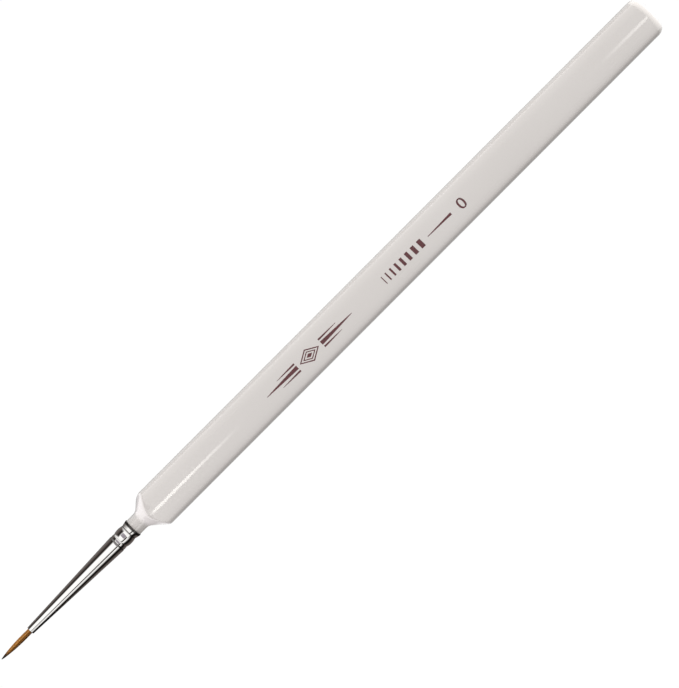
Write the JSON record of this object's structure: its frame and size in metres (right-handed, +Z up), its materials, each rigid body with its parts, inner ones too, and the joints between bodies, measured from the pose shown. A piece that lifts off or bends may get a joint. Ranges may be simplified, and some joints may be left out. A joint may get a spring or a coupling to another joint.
{
  "type": "fine detail brush",
  "caption": "Fine detail paint brush with a three-sided lacquered wooden handle, a crimped tapered metal ferrule and a pointed hair tuft that flexes.",
  "frame": {"origin": "Bottom centre of the bounding box: midway between the tuft's point and the tail, on the plane of the handle facet that the brush rests on.", "axes": "+X runs along the brush from the tuft's point to the tail. +Z is up, away from the resting facet. The brush axis is at z = 3.44 mm."},
  "size_m": [0.19, 0.0094, 0.0087],
  "materials": {
    "handle_wood": "matte",
    "lacquer": "gloss",
    "nickel": "polished",
    "adhesive": "satin",
    "resin": "gloss",
    "thread": "matte",
    "hair": "satin"
  },
  "bodies": {
    "handle": {"handle_core": "handle_wood", "handle_lacquer": "lacquer", "ferrule": "nickel", "tenon_glue": "adhesive", "root_resin": "resin", "binding_thread": "thread", "tuft_root": "hair"},
    "heel": {"tuft_heel": "hair"},
    "waist": {"tuft_waist": "hair"},
    "belly": {"tuft_belly": "hair"},
    "point": {"tuft_point": "hair"}
  },
  "joints": [
    {"name": "tuft_flex_up", "type": "hinge", "parent": "handle", "child": "heel", "pos_m": [-0.0871, 0, 0.00344], "axis": [0, 1, 0], "range_deg": [-12, 12], "stiffness_Nm_per_rad": 0.0000012},
    {"name": "tuft_flex_side", "type": "hinge", "parent": "heel", "child": "waist", "pos_m": [-0.0885, 0, 0.00344], "axis": [0, 0, 1], "range_deg": [-12, 12], "stiffness_Nm_per_rad": 0.0000008},
    {"name": "tip_curl_up", "type": "hinge", "parent": "waist", "child": "belly", "pos_m": [-0.0899, 0, 0.00344], "axis": [0, 1, 0], "range_deg": [-21, 21], "stiffness_Nm_per_rad": 0.0000002},
    {"name": "tip_curl_side", "type": "hinge", "parent": "belly", "child": "point", "pos_m": [-0.0913, 0, 0.00344], "axis": [0, 0, 1], "range_deg": [-21, 21], "stiffness_Nm_per_rad": 0.00000008}
  ],
  "couplings": [
    {"joint": "tip_curl_up", "follows": "tuft_flex_up", "ratio": 1.75},
    {"joint": "tip_curl_side", "follows": "tuft_flex_side", "ratio": 1.75}
  ]
}
